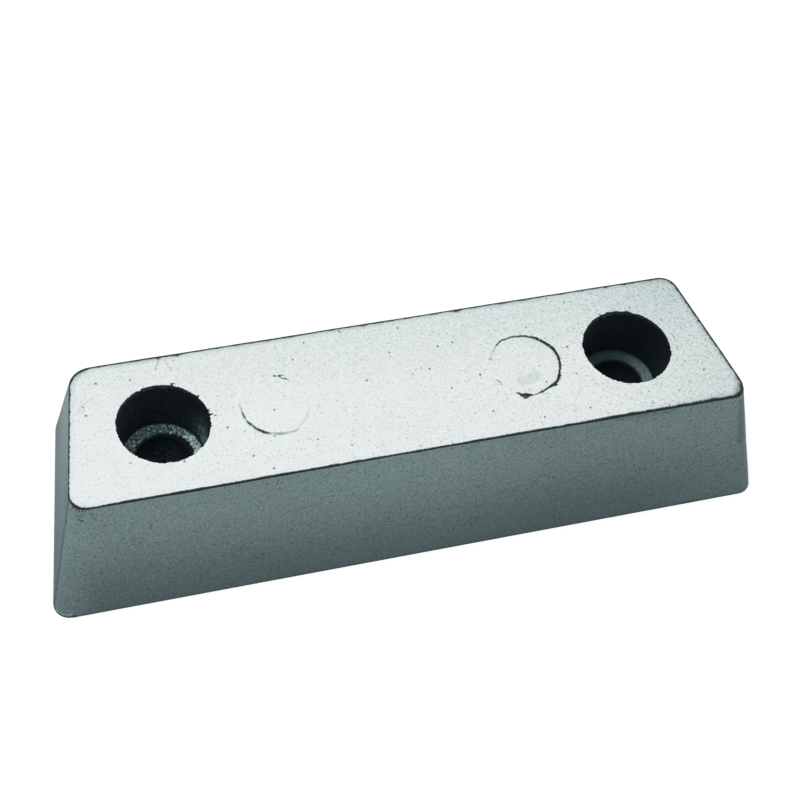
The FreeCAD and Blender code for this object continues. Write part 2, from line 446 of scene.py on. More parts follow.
def shade_strength(place):
    """How grey the face is beside the line: column 3 of EDGE_STOPS, uneven by a third."""
    return between_stops(place, 3) * (1 + 0.35 * jagged(place * math.tau / ROUND, 20, 60, 61))


def top_height(plan):
    """Height of the top face: BAR_HEIGHT plus two sizes of unevenness."""
    flat = lifted(plan, 0.0)
    wide = TOP_UNEVENNESS * ripple(flat, 26.0, 21)
    return BAR_HEIGHT + wide + FINER_SHARE * TOP_UNEVENNESS * ripple(flat, 7.0, 22)


turned = np.concatenate([np.zeros(BAND_INSETS.size), np.linspace(0, 1, EDGE_ROWS)])
extra = np.concatenate([BAND_INSETS, np.zeros(EDGE_ROWS)])
inset, drop = round_edge(ring[None, :], turned[:, None])
inset = inset + extra[:, None]
edge_plan = wall(ring, BAR_HEIGHT) - inset[..., None] * normal(ring)
edge_rows = lifted(edge_plan, top_height(edge_plan) - drop)

down = np.linspace(0, 1, WALL_ROWS + 1)[1:] ** WALL_CROWDING
wall_top = edge_rows[-1, :, 2]
heights = wall_top + down[:, None] * (FOOT_RADIUS - wall_top)
bulge = np.sin(math.pi * down)[:, None] ** 0.5
wall_rows = lifted(wall(np.broadcast_to(ring, heights.shape), heights), heights)
push = WALL_UNEVENNESS * bulge * (ripple(wall_rows, 21.0, 31) + FINER_SHARE * ripple(wall_rows, 6.0, 32))
wall_rows[..., :2] += push[..., None] * normal(ring)

foot_turn = np.linspace(0, RIGHT_ANGLE, FOOT_ROWS + 1)[1:, None]
foot_height = FOOT_RADIUS * (1 - np.sin(foot_turn)) * np.ones(ring.size)
foot_plan = wall(np.broadcast_to(ring, foot_height.shape), foot_height)
foot_plan = foot_plan - (FOOT_RADIUS * (1 - np.cos(foot_turn)))[..., None] * normal(ring)
foot_rows = lifted(foot_plan, foot_height)

outer_rows = np.concatenate([edge_rows, wall_rows, foot_rows])
way_round = ring * math.tau / ROUND
raggedness = 1 + 0.17 * jagged(way_round, 90, 330, 62) + 0.15 * jagged(way_round, 30, 80, 63)
above = np.maximum(inset, 0) / between_stops(ring, 1)
below = (wall_top[None, :] - np.concatenate([heights, foot_height])) * FADE_ON_WALL / between_stops(ring, 2)
distance = np.concatenate([above, np.maximum(below, 0)]) * raggedness
distance[turned.size - EDGE_ROWS:turned.size] *= FADE_ON_ROUND
on_wall = np.ones(WALL_ROWS + FOOT_ROWS)
thinned = THINNING * np.clip(THIN_REACH - between_stops(ring, 2), 0, 1)
distance += thinned * np.concatenate([turned ** 2, on_wall])[:, None]
faded = np.concatenate([(1 - extra / RIM_BAND) ** SHADE_FADE, on_wall])
# Painted: a dark reflection along the top edge ("line") and shade beside it ("shade").
add_grid(
    outer_rows,
    side=np.concatenate([smooth(turned, 0.25, 0.85), on_wall]),
    end=np.ones((outer_rows.shape[0], 1)) * np.abs(normal(ring)[:, 0]),
    line=np.clip(1 - distance, 0, 1),
    shade=shade_strength(ring) * faded[:, None],
)
print("outer wall:", outer_rows.shape[0], "rows of", outer_rows.shape[1], "points")

# %% [markdown]
# ## The mouths of the bolt holes
#
# A hole is a profile turned about its axis. The Screw modifier turns a profile too, but the same one
# all round, and the mouth of a cast hole is ragged, because thin flash broke away from it. So its
# radius depends on the direction: two sizes of fine raggedness, and a few notches and bumps where
# more of the edge broke away or was left standing.

# %% Mouths of the holes
MOUTH_RAGGED = 0.10
NOTCHES = {
    "left": [(1.19, 0.45, 1.6), (0.58, 0.40, 1.6), (0.16, 0.38, 1.2), (0.03, 0.45, 1.5), (1.90, -0.3, 1.5)],
    "right": [(1.68, 0.28, 5.0), (1.50, 0.2, 4.0), (1.22, 0.22, 5.0), (1.84, 0.2, 1.2), (-0.35, 0.15, 2.5)],
}


def mouth_radius(turn, hole):
    """Radius of a mouth: MOUTH_RADIUS + fine raggedness + notches.

    A notch is (direction in radians, depth in mm, width in degrees): depth * exp(-(angle / width)^2).
    """
    seed = 41 if hole == "left" else 42
    rough = 0.6 * jagged(turn, 5, 30, seed) + 0.6 * jagged(turn, 40, 110, seed + 4)
    radius = MOUTH_RADIUS + MOUTH_RAGGED * rough
    for direction, depth, width in NOTCHES[hole]:
        away = np.angle(np.exp(1j * (turn - direction)))
        radius = radius + depth * np.exp(-(away / math.radians(width)) ** 2)
    return radius


for hole in NOTCHES:
    reach = mouth_radius(np.linspace(-math.pi, math.pi, 720), hole)
    print(f"{hole} mouth: radius from {reach.min():.2f} to {reach.max():.2f} mm")

# %% [markdown]
# ## Painted light in the holes
#
# The inside of a hole is painted dark, a painted shade. A mask of painted light says where light and
# reflections are painted onto it, and how much. It could be painted on the finished mesh, but lists
# of (degrees, value) say the same in a few lines. The two holes differ, so each has its own for the
# seat, the wall and the back and left of the wall, and its own dark inner rim of painted shade: how far
# that reaches from the bolt's hole, how much further on the right-hand side, and how ragged it is. In
# the right hole the outer rim of the seat fades at the back, a painted shade. At the back of the mouth
# a painted highlight lies on a small lip in a thin line, with dashes below it.

# %% Painted light in the holes
# Painted highlight on the lip behind the mouth of a hole.
LIP_SHINE = 0.13
DASH_SHINE = 0.08
WALL_DEPTHS = np.array([0, 0.1, 0.25, 0.4, 0.55, 0.7, 0.9, 1.15, 1.4, 1.65, 1.9, 2.4, 3.5, 5, 7, 9, 10.8])
# Painted light in each hole for the seat, the wall, its back and left, and the bolt hole.
HOLE_LIGHT = {
    "left": {
        "seat": [(-120, 0.2), (-60, 0.62), (-20, 0.92), (12, 0.92), (32, 0.74), (50, 0.48), (70, 0.34),
                 (110, 0.31), (150, 0.28), (180, 0.26)],
        "wall": [(-70, 0.0), (-35, 0.22), (0, 0.41), (16, 0.36), (30, 0.13), (45, 0.03), (70, 0.0),
                 (180, 0.0)],
        "dust": [(-60, 0.0), (45, 0.0), (80, 0.05), (120, 0.06), (180, 0.068)],
        "bolt hole": 0.24, "worn rim": (0.50, 0.80, 0.14), "soft rim": 0.0,
    },
    "right": {
        "seat": [(-120, 0.1), (-60, 0.26), (-10, 0.34), (16, 0.34), (40, 0.24), (60, 0.145), (85, 0.115),
                 (115, 0.12), (150, 0.15)],
        "wall": [(-70, 0.0), (-20, 0.045), (15, 0.012), (35, 0.004), (70, 0.0), (180, 0.0)],
        "dust": [(-60, 0.0), (45, 0.0), (80, 0.022), (120, 0.042), (180, 0.042)],
        "bolt hole": 0.17, "worn rim": (0.50, 0.10, 0.05), "soft rim": 1.0,
    },
}


def around(turn, stops):
    """Straight interpolation round a circle between stops of (degrees, value)."""
    degrees, values = np.array(stops).T
    return np.interp(np.degrees(turn), degrees, values, period=360)


def shaded_edge(turn, hole):
    """Radius up to which the seat's inner edge is painted dark, a painted shade.

    Formula: the bolt hole's radius + nearest + further * cos(turn) on the right-hand side, ragged.
    """
    nearest, further, ragged_rim = HOLE_LIGHT[hole]["worn rim"]
    shade_reach = BOLT_RADIUS + nearest + further * np.clip(np.cos(turn - 0.2), 0, 1)
    return shade_reach + ragged_rim * jagged(turn, 10, 60, 47)


def lip_shine(turn, behind):
    """How much painted highlight the lip gets: a line 0.6 mm down, and dashes 1.6 mm down, behind the hole
    only.
    """
    depth = WALL_DEPTHS[:, None]
    dashes = np.clip(0.2 + jagged(turn, 20, 90, 48), 0, 1)
    shine = LIP_SHINE * np.exp(-((depth - 0.6) / 0.13) ** 2)
    return behind * (shine + DASH_SHINE * dashes * np.exp(-((depth - 1.6) / 0.2) ** 2))


print("bare metal and dust for the holes:", ", ".join(HOLE_LIGHT))

# %% [markdown]
# ## The profile of a hole
#
# The profile runs down the leaning wall of the counterbore, across the seat for the bolt's head, over
# a worn inner edge and down the bolt's clearance hole. Below the mouth its raggedness dies away, and
# behind it the lip sticks inwards. All edges are short arcs. A Bevel modifier could round them later,
# but here every row of points knows what it belongs to, and gets its masks with its place.

# %% Holes
SEAT_FILLET = 0.45
SEAT_INNER = 0.9
SEAT_UNEVENNESS = 0.09
SEAT_RINGS = 12
RAGGED_DEPTH = 0.9
LIP = 0.22


def outward(turn):
    """(cos turn, sin turn)."""
    return np.stack([np.cos(turn), np.sin(turn)], axis=-1)


def hole_rows(turn, hole, centre):
    """Rows of a hole from its mouth to the bottom face, its mask of painted light and the mask "hollow".

    Formula: centre + radius * (cos turn, sin turn) for each (radius, height) of the profile. The wall
    leans evenly, raggedness dies away as exp(-depth / RAGGED_DEPTH), and the edges are arcs.
    """
    full_depth = BAR_HEIGHT - SEAT_HEIGHT
    leaning = (MOUTH_RADIUS + (SEAT_RADIUS - MOUTH_RADIUS) * WALL_DEPTHS / full_depth)[:, None]
    ragged = (mouth_radius(turn, hole) - MOUTH_RADIUS) * np.exp(-WALL_DEPTHS / RAGGED_DEPTH)[:, None]
    behind = np.clip(np.sin(turn - math.radians(10)), 0, 1) ** 0.5 * (1 + 0.35 * jagged(turn, 6, 40, 49))
    lip = LIP * behind * (smooth(WALL_DEPTHS, 0.25, 0.5) - smooth(WALL_DEPTHS, 0.6, 3.0))[:, None]
    wall_radius = leaning + ragged - lip
    wall_height = BAR_HEIGHT - WALL_DEPTHS

    fillet = np.linspace(0, RIGHT_ANGLE, 4)
    fillet_radius = SEAT_RADIUS - SEAT_FILLET * (1 - np.cos(fillet))
    fillet_height = SEAT_HEIGHT + SEAT_FILLET * (1 - np.sin(fillet))
    seat_radius = np.linspace(SEAT_RADIUS - SEAT_FILLET, BOLT_RADIUS + SEAT_INNER, SEAT_RINGS)[1:]
    inner = np.linspace(0, RIGHT_ANGLE, 6)[1:]
    inner_radius = BOLT_RADIUS + SEAT_INNER * (1 - np.sin(inner))
    inner_height = SEAT_HEIGHT - SEAT_INNER * (1 - np.cos(inner))
    bolt_height = np.array([0.9, 0.65, 0.35, 0.04]) * SEAT_HEIGHT
    foot = np.linspace(0, RIGHT_ANGLE, 4)[1:]
    foot_radius = BOLT_RADIUS + FOOT_RADIUS * (1 - np.cos(foot))
    foot_height = FOOT_RADIUS * (1 - np.sin(foot))

    seat_height = np.full(SEAT_RINGS - 1, SEAT_HEIGHT)
    bolt_radius = np.full(bolt_height.size, BOLT_RADIUS)
    plain_radius = np.concatenate([fillet_radius, seat_radius, inner_radius, bolt_radius, foot_radius])
    plain_height = np.concatenate([fillet_height, seat_height, inner_height, bolt_height, foot_height])
    radius = np.concatenate([wall_radius, plain_radius[:, None] * np.ones(turn.size)])
    height = np.concatenate([wall_height, plain_height])[:, None] * np.ones(turn.size)
    plan = centre + radius[..., None] * outward(turn)

    below_wall = radius.shape[0] - WALL_DEPTHS.size
    over_edge = [0.95, 0.7, 0.3, 0.08, 0.0]
    on_seat = np.concatenate([[0.0, 0.15, 0.75, 1.25], np.ones(SEAT_RINGS - 1), over_edge, np.zeros(7)])
    uneven_seat = SEAT_UNEVENNESS * ripple(lifted(plan, 0.0)[WALL_DEPTHS.size:], 1.5, 45)
    height[WALL_DEPTHS.size:] += (on_seat > 0.9)[:, None] * uneven_seat
    height[0] = top_height(plan[0])

    plain = plain_radius[:, None]
    # Painted shade: the seat's inner rim stays dark, and in the right hole its outer rim fades at the back.
    faded = HOLE_LIGHT[hole]["soft rim"] * smooth(plain, 7.7, 8.6) * np.clip(np.sin(turn), 0, 1)
    shade_reach = shaded_edge(turn, hole)
    kept = smooth(plain, shade_reach - 0.25, shade_reach + 0.15) * (1 - faded)
    # Painted light down the bolt hole, on the wall and on the seat.
    down_bolt_hole = np.concatenate([np.zeros(SEAT_RINGS + 8), [0.2, 0.7, 1, 1, 1, 1, 1]])
    in_bore = down_bolt_hole[:, None] * HOLE_LIGHT[hole]["bolt hole"]
    wall_lit = around(turn, HOLE_LIGHT[hole]["wall"]) * smooth(WALL_DEPTHS, 2.5, 9.0)[:, None]
    wall_lit = wall_lit + around(turn, HOLE_LIGHT[hole]["dust"]) + lip_shine(turn, behind)
    seat_lit = on_seat[:, None] * kept * around(turn, HOLE_LIGHT[hole]["seat"])
    bare = np.concatenate([wall_lit, seat_lit + in_bore])
    hollow = np.concatenate([smooth(WALL_DEPTHS, 0.0, 0.2), np.ones(below_wall - 1), [0.0]])
    return lifted(plan, height), bare, hollow


for index, hole in ((0, "left"), (3, "right")):
    rows, bare, hollow = hole_rows(turns[index], hole, CELL_CENTRES[index])
    add_grid(rows, flip=True, bare=bare, hollow=hollow)
    print(hole, "hole:", rows.shape[0], "rows of", rows.shape[1], "points")

# %% [markdown]
# ## The marks of the mould's pins
#
# Two pins push the casting out of its mould, and each leaves a round mark. Where pin and metal
# parted, a fine crevice follows the rim. It is broken and of many widths, and the rim itself isn't
# quite round, so a circle wouldn't do. Each stop of "seam" gives a direction in degrees, the
# crevice's strength and width there, and the rim's radius in millimetres.

# %% Rims of the marks
RIM_UNEVENNESS = 0.03
PINS = {
    "left": {
        "middle": 0.25, "rises": math.radians(-140), "seed": 51,
        "seam": [
            (140, 0.0, 0.6, 7.2), (166, 0.0, 0.6, 7.5), (171, 0.10, 0.6, 7.2), (178, 0.26, 0.46, 6.9),
            (-176, 0.30, 0.42, 6.93), (-174, 0.62, 0.34, 6.98), (-167, 0.68, 0.32, 6.96),
            (-162, 0.50, 0.32, 6.90), (-160, 0.20, 0.28, 7.0), (-157, 0.25, 0.30, 7.1),
            (-155, 0.66, 0.34, 7.12), (-149, 0.74, 0.38, 7.06), (-144, 0.42, 0.30, 6.98),
            (-141, 0.60, 0.34, 7.1), (-131, 0.68, 0.36, 7.12), (-121, 0.76, 0.40, 7.2),
            (-114, 0.58, 0.32, 7.18), (-110, 0.20, 0.28, 7.16), (-106, 0.05, 0.40, 7.14),
            (-101, 0.20, 0.40, 7.14), (-95, 0.34, 0.44, 7.24), (-88, 0.22, 0.42, 7.28),
            (-83, 0.08, 0.44, 7.3), (-77, 0.12, 0.44, 7.36), (-70, 0.19, 0.40, 7.5),
            (-64, 0.10, 0.4, 7.5), (-60, 0.02, 0.4, 7.2), (-52, 0.07, 0.5, 6.98),
            (-40, 0.10, 0.48, 6.95), (-28, 0.09, 0.48, 6.98), (-19, 0.05, 0.5, 7.04),
            (-8, 0.0, 0.6, 7.1),
        ],
    },
    "right": {
        "middle": -0.3, "rises": math.radians(180), "seed": 52,
        "seam": [
            (-180, 0.0, 0.4, 7.3), (-122, 0.0, 0.4, 7.9), (-117, 0.45, 0.5, 7.9), (-111, 0.8, 1.0, 8.0),
            (-104, 0.9, 1.2, 7.95), (-97, 0.9, 0.9, 7.95), (-94, 0.75, 0.62, 7.93),
            (-89, 0.75, 0.56, 7.86), (-84, 0.9, 0.66, 7.7), (-78, 1.0, 0.76, 7.55),
            (-66, 1.0, 0.84, 7.4), (-60, 1.0, 0.84, 7.5), (-55, 1.0, 0.85, 7.75),
            (-48, 1.0, 0.78, 7.75), (-42, 1.0, 0.70, 7.68), (-35, 1.0, 0.68, 7.55),
            (-26, 0.92, 0.58, 7.43), (-15, 0.9, 0.52, 7.49), (-3, 0.86, 0.50, 7.61),
            (6, 0.84, 0.48, 7.68), (19, 0.82, 0.48, 7.78), (29, 0.8, 0.46, 7.67), (37, 0.8, 0.44, 7.55),
            (50, 0.78, 0.44, 7.57), (57, 0.74, 0.40, 7.6), (66, 0.72, 0.36, 7.4), (76, 0.7, 0.36, 7.42),
            (85, 0.7, 0.34, 7.3), (95, 0.7, 0.36, 7.38), (106, 0.7, 0.38, 7.27), (113, 0.78, 0.38, 7.5),
            (120, 0.78, 0.36, 7.42), (128, 0.72, 0.32, 7.32), (131, 0.32, 0.28, 7.28),
            (137, 0.34, 0.28, 7.2), (141, 0.5, 0.32, 7.17), (144, 0.26, 0.3, 7.15),
            (150, 0.07, 0.4, 7.12), (156, 0.13, 0.4, 7.1), (158, 0.45, 0.36, 7.1),
            (161, 0.08, 0.4, 7.1), (165, 0.0, 0.4, 7.15),
        ],
    },
}


def seam_column(turn, pin, column):
    """One column of a seam's stops, interpolated straight between the stops round the mark."""
    stops = np.array(pin["seam"])
    return np.interp(np.degrees(turn), stops[:, 0], stops[:, column], period=360)


def pin_rim(turn, pin):
    """Radius of a mark's rim: that of its seam plus a fine raggedness."""
    return seam_column(turn, pin, 3) + RIM_UNEVENNESS * jagged(turn, 8, 70, pin["seed"])


for name, pin in PINS.items():
    print(name, "rim:", len(pin["seam"]), "stops")

# %% [markdown]
# ## Discs and crevices
#
# The pins didn't sit level: the left disc stands proud on one side, and the right one is sunk on one
# side. A bump in the material would draw the rim, but only a real step casts a shadow and shows
# from the side. Rings a tenth of a millimetre apart keep the step sharp, and the mask "seam"
# paints the crevice near black, a painted shade.

# %% Pin marks
PIN_TILT = math.tan(math.radians(2.4))
CREVICE_DEPTH = 0.22
DISC_UNEVENNESS = 0.03
SEAM_GAIN = 1.25
DISC_SHARES = np.array([0.0, 0.14, 0.28, 0.42, 0.55, 0.67, 0.78, 0.86])
RIM_OFFSETS = np.array([-0.60, -0.42, -0.29, -0.19, -0.10, -0.02, 0.05, 0.12, 0.20, 0.30, 0.44, 0.62])
DISC_ROWS = DISC_SHARES.size + 6


def seam_mask(turn, pin, offset):
    """Painted shade of the crevice, near black, at an offset from the rim, and its strength there.

    Formula: SEAM_GAIN * strength * (1 - (offset / half width)^2), where it isn't below 0.
    """
    strength = seam_column(turn, pin, 1)
    width = seam_column(turn, pin, 2) * (1 + 0.18 * jagged(turn, 15, 60, pin["seed"] + 7))
    return SEAM_GAIN * strength * np.clip(1 - (2 * offset / width) ** 2, 0, 1), strength


def disc_height(plan, centre, pin):
    """Height of a disc: that of the top face + middle + PIN_TILT * the way towards where it rises."""
    away = (plan - centre) @ np.array([math.cos(pin["rises"]), math.sin(pin["rises"])])
    uneven = DISC_UNEVENNESS * ripple(lifted(plan, 0.0), 3.5, pin["seed"])
    return top_height(plan) + pin["middle"] + PIN_TILT * away + uneven


def mark_rows(turn, pin, centre):
    """Rings of a mark from its middle to the far side of the crevice, and the crevice's mask."""
    rim = pin_rim(turn, pin)
    radius = np.concatenate([DISC_SHARES[:, None] * rim, rim + RIM_OFFSETS[:, None]])
    plan = centre + radius[..., None] * outward(turn)
    height = np.concatenate([disc_height(plan[:DISC_ROWS], centre, pin), top_height(plan[DISC_ROWS:])])
    mask, strength = seam_mask(turn, pin, RIM_OFFSETS[:, None] - 0.03)
    height[DISC_ROWS] = np.minimum(height[DISC_ROWS], height[DISC_ROWS - 1]) - CREVICE_DEPTH * strength
    mask = np.clip(mask, 0, 1)
    return lifted(plan, height), np.concatenate([np.zeros((DISC_SHARES.size, turn.size)), mask])


for index, name in ((1, "left"), (2, "right")):
    rows, seam = mark_rows(turns[index], PINS[name], CELL_CENTRES[index])
    add_grid(rows, seam=seam)
    lowest, highest = rows[..., 2].min(), rows[..., 2].max()
    print(f"{name} mark: {rows.shape[0]} rings, heights {lowest:.2f} to {highest:.2f} mm")

# %% [markdown]
# ## Top and bottom faces
#
# What is left of the top face is four cells, each a straight blend from its circle to its border.
# The blend crowds its rings near the circle by raising their fraction to a power. One large face
# with openings would be enough for a flat plate, but only a mesh of many points can be uneven. The
# bottom face is the flat side that sits on the hull, so a few rings are enough there.

# %% Top face and bottom face
TOP_RINGS = 17
CROWDING = 1.6
BOTTOM_RINGS = 5


def blend_rings(inner, border, fractions):
    """Rings from a circle to a border: (1 - f) * inner + f * border for each fraction f."""
    f = fractions[:, None, None]
    return (1 - f) * inner + f * border


top_fractions = np.linspace(0, 1, TOP_RINGS) ** CROWDING
bottom_fractions = np.linspace(0, 1, BOTTOM_RINGS)
bottom_borders = cell_borders(outer_rows[-1, :, :2])
for index, name in enumerate(("left", "left", "right", "right")):
    turn = turns[index]
    is_hole = index in (0, 3)
    circle = mouth_radius(turn, name) if is_hole else pin_rim(turn, PINS[name]) + RIM_OFFSETS[-1]
    inner = CELL_CENTRES[index] + circle[:, None] * outward(turn)
    plan = blend_rings(inner, borders[index], top_fractions)
    add_grid(lifted(plan, top_height(plan)))
    bottom_circle = BOLT_RADIUS + FOOT_RADIUS if is_hole else 0.0
    inner = CELL_CENTRES[index] + bottom_circle * outward(turn)
    plan = blend_rings(inner, bottom_borders[index], bottom_fractions)
    add_grid(lifted(plan, 0.0), flip=True)
print("grids so far:", len(grids))

# %% [markdown]
# ## Joining the grids
#
# Neighbouring grids hold the same points twice. Merge by Distance could join them later, but numpy
# can do it before Blender sees the mesh: rounding every position to a thousandth of a millimetre
# makes twins equal, and unique then gives each pair one number. The shift keeps the many points at
# round numbers away from the border between two roundings. In the middle of a disc a whole row
# becomes one point, so its quads turn into triangles. A closed surface has exactly two faces on
# every edge, which the cell counts.

# %% One closed mesh
ROUNDING_SHIFT = 0.37


def joined(parts):
    """Stacks the grids and gives points that are equal to a thousandth of a millimetre one number."""
    offsets = np.cumsum([0] + [positions.shape[0] for positions, _, _ in parts])
    positions = np.concatenate([part[0] for part in parts])
    corners = np.concatenate([part[1] + offset for part, offset in zip(parts, offsets)])
    masks = np.concatenate([part[2] for part in parts])
    keys = np.round(positions / MM + ROUNDING_SHIFT).astype(np.int64)
    _, first, number = np.unique(keys, axis=0, return_index=True, return_inverse=True)
    strongest = np.zeros((first.size, masks.shape[1]))
    np.maximum.at(strongest, number.reshape(-1), masks)
    return positions[first], number.reshape(-1)[corners], strongest


points, corners, masks = joined(grids)
at_pole = corners[:, 0] == corners[:, 3]
quads, triangles = corners[~at_pole], corners[at_pole, :3]
edges = np.concatenate([
    np.stack([part, np.roll(part, -1, axis=1)], -1).reshape(-1, 2) for part in (quads, triangles)
])
_, uses = np.unique(np.sort(edges, axis=1), axis=0, return_counts=True)
print(len(points), "points,", len(quads), "quads,", len(triangles), "triangles")
print("faces on an edge:", set(uses.tolist()))

# %% [markdown]
# ## The Blender object
#
# The mesh gets its points in metres and each mask as a float attribute, which a material can read.
# Vertex colours would hold masks too, but only three to a layer. The object stays at the origin, as
# a solid's does. It stands for the solid and rides on its body.

# %% Cast bar
mesh = bpy.data.meshes.new("cast_bar")
mesh.from_pydata((points * MM).tolist(), [], quads.tolist() + triangles.tolist())
mesh.shade_smooth()
for column, mask_name in enumerate(MASKS):
    attribute = mesh.attributes.new(mask_name, "FLOAT", "POINT")
    attribute.data.foreach_set("value", masks[:, column].astype(np.float32))
mesh.validate()
cast_bar = bpy.data.objects.new("cast_bar", mesh)
bpy.context.scene.collection.objects.link(cast_bar)
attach(cast_bar, "root")
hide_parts(NODE)
print("cast_bar:", 2 * len(quads) + len(triangles), "triangles")

# %% [markdown]
# ## A shorter way to write materials
#
# A material is a tree of nodes. It could be drawn by hand in the Shader Editor, but sums of many
# masks are easier to read as formulas. Wrapping a socket in a small class lets Python's own signs
# build the tree: a * b adds a Math node that multiplies.

# %% Sockets as numbers
class Signal:
    """A node's output. The signs +, - and * on it add Math nodes."""

    def __init__(self, finish, socket):
        self.finish, self.socket = finish, socket

    def output(self, name):
        """Another output of the same node."""
        return Signal(self.finish, self.socket.node.outputs[name])

    def math(self, operation, *values):
        """A Math node on the values given."""
        return self.finish.node("Math", {"operation": operation}, dict(enumerate(values)))

    def __add__(self, other):
        return self.math("ADD", self, other)

    def __sub__(self, other):
        return self.math("SUBTRACT", self, other)

    def __rsub__(self, other):
        return self.math("SUBTRACT", other, self)

    def __mul__(self, other):
        return self.math("MULTIPLY", self, other)

    __radd__ = __add__
    __rmul__ = __mul__

    def size(self):
        """The number without its sign."""
        return self.math("ABSOLUTE", self)

    def power(self, exponent):
        """The number raised to a power."""
        return self.math("POWER", self, exponent)

    def larger(self, other):
        """The larger of two numbers."""
        return self.math("MAXIMUM", self, other)

    def smaller(self, other):
        """The smaller of two numbers."""
        return self.math("MINIMUM", self, other)

    def step(self, start, stop, low=0.0, high=1.0):
        """low before start and high after stop, with a smooth step between them."""
        return self.finish.node(
            "MapRange", {"interpolation_type": "SMOOTHSTEP"},
            {"Value": self, "From Min": start, "From Max": stop, "To Min": low, "To Max": high},
        )


print("signs and helpers for node outputs are ready")

# %% [markdown]
# ## One method for every node
#
# Every node comes from one method that adds it, makes its settings and then fills its inputs. The
# settings come first because some of them change which inputs there are. The same could be written
# out for each node, in four or five lines every time. The other methods only give the commonest
# uses a plain name. Dots and strokes are made of distances: a dot is what lies near the middle of a
# cell, and a stroke what lies near a line.

# %% Trees of nodes
class Finish:
    """The node tree of a material or of a world."""

    def __init__(self, owner):
        owner.use_nodes = True
        self.owner, self.tree = owner, owner.node_tree
        self.tree.nodes.clear()

    def node(self, kind, settings=None, inputs=None):
        """Adds a node, sets its settings, then sets or links its inputs, and returns its first output."""
        made = self.tree.nodes.new("ShaderNode" + kind)
        settings = dict(settings or {})
        for number, (position, colour) in enumerate(settings.pop("stops", [])):
            elements = made.color_ramp.elements
            stop = elements[number] if number < 2 else elements.new(position)
            stop.position, stop.color = position, (*colour, 1.0)
        for name, setting in settings.items():
            setattr(made, name, setting)
        for key, value in (inputs or {}).items():
            if isinstance(value, Signal):
                self.tree.links.new(value.socket, made.inputs[key])
            else:
                made.inputs[key].default_value = value
        return Signal(self, made.outputs[0]) if made.outputs else None

    def mask(self, name):
        """The number that the mesh keeps beside each point under this name."""
        return self.node("Attribute", {"attribute_name": name}).output("Fac")

    def split(self, vector):
        """The three numbers of a vector."""
        parts = self.node("SeparateXYZ", inputs={"Vector": vector})
        return [parts.output(axis) for axis in "XYZ"]

    def vector(self, operation, inputs):
        """A Vector Math node."""
        return self.node("VectorMath", {"operation": operation}, inputs)

    def noise(self, place, size, detail=2.0, roughness=0.55, distortion=0.0):
        """Noise of 0 to 1 on a lattice of size metres."""
        return self.node("TexNoise", inputs={
            "Vector": place, "Scale": 1 / size, "Detail": detail, "Roughness": roughness,
            "Distortion": distortion,
        })

    def blend(self, first, second, share):
        """The first colour, turning into the second as share goes from 0 to 1."""
        mix = self.node("Mix", {"data_type": "RGBA"}, {0: share, 6: first, 7: second})
        return Signal(self, mix.socket.node.outputs[2])

    def tones(self, tone, stops):
        """The colour that a scale of colours gives to a tone of 0 to 1."""
        return self.node("ValToRGB", {"stops": stops}, {"Fac": tone})

    def dots(self, place, spacing, share, radius):
        """Dots scattered over a plane, 1 in their middles, of many sizes up to a radius.

        Formula: each cell of a Voronoi pattern draws a number. The upper share of the numbers gives
        dots, and the higher the number, the larger the dot.
        """
        flat = {"voronoi_dimensions": "2D"}
        cell = self.node("TexVoronoi", flat, {"Vector": place, "Scale": 1 / spacing})
        luck = self.node("SeparateColor", inputs={"Color": cell.output("Color")})
        reach = luck.step(1 - share, 1.0, 0.0, radius / spacing)
        return (reach - cell.output("Distance")).step(0.0, 0.5 * radius / spacing)

    def stroke(self, place, start, end, width):
        """1 along the line from start to end, 0 from half a width away.

        Formula: the nearest point of the line lies a share t along it, and t is the way from start
        to here, times the line, by the line's length squared, kept between 0 and 1.
        """
        start, end = (Vector((*point, 0.0)) * MM for point in (start, end))
        line = end - start
        from_start = self.vector("SUBTRACT", {0: place, 1: start})
        share = self.vector("DOT_PRODUCT", {0: from_start, 1: line / line.length_squared})
        kept = self.node("Clamp", inputs={"Value": share.output("Value")})
        nearest = self.vector("SCALE", {0: line, "Scale": kept})
        away = self.vector("DISTANCE", {0: from_start, 1: nearest}).output("Value")
        return away.step(0.5 * width * MM, 0.15 * width * MM)

    def strokes(self, place, paths):
        """The strongest of many strokes. A path is (width in mm, strength, point, point, ...)."""
        drawn = None
        for width, strength, *points in paths:
            for start, end in zip(points, points[1:]):
                stroke = self.stroke(place, start, end, width) * strength
                drawn = stroke if drawn is None else drawn.larger(stroke)
        return drawn

    def surface(self, shader):
        """Ends the tree with its output."""
        kind = "OutputWorld" if isinstance(self.owner, bpy.types.World) else "OutputMaterial"
        self.node(kind, inputs={"Surface": shader})


print("ready to write finishes")

# %% [markdown]
# ## The skin of the casting
#
# Fresh cast zinc is pale and slightly blue, and the darker it looks, the bluer it is. So every spot
# first gets a tone, a single number from dark to pale, and a scale of colours turns the tone into
# a colour. The top is pale. The walls keep the sandy grain of the mould's coating, their scale is
# darker than the top's, and they are darker towards the bottom, all painted shade. The insides of the
# holes are darkest, a painted shade too.

# %% Scales of colours
TOP_TONES = [
    (0.0, (0.004, 0.007, 0.008)), (0.05, (0.032, 0.050, 0.053)), (0.21, (0.150, 0.209, 0.212)),
    (0.45, (0.360, 0.450, 0.447)), (0.65, (0.528, 0.651, 0.640)), (0.84, (0.777, 0.840, 0.831)),
    (1.0, (0.96, 1.0, 0.995)),
]
# Painted shade: the walls' scale is darker than the top's.
WALL_TONES = [(0.0, (0.006, 0.010, 0.012)), (0.5, (0.166, 0.244, 0.254)), (1.0, (0.425, 0.578, 0.583))]
# Painted shade: the dark end of this scale darkens the insides of the holes.
HOLLOW_TONES = [(0.0, (0.0082, 0.0145, 0.0175)), (0.25, (0.078, 0.130, 0.140)), (1.0, (0.66, 0.84, 0.85))]
print("scales of", len(TOP_TONES), len(WALL_TONES), "and", len(HOLLOW_TONES), "colours")
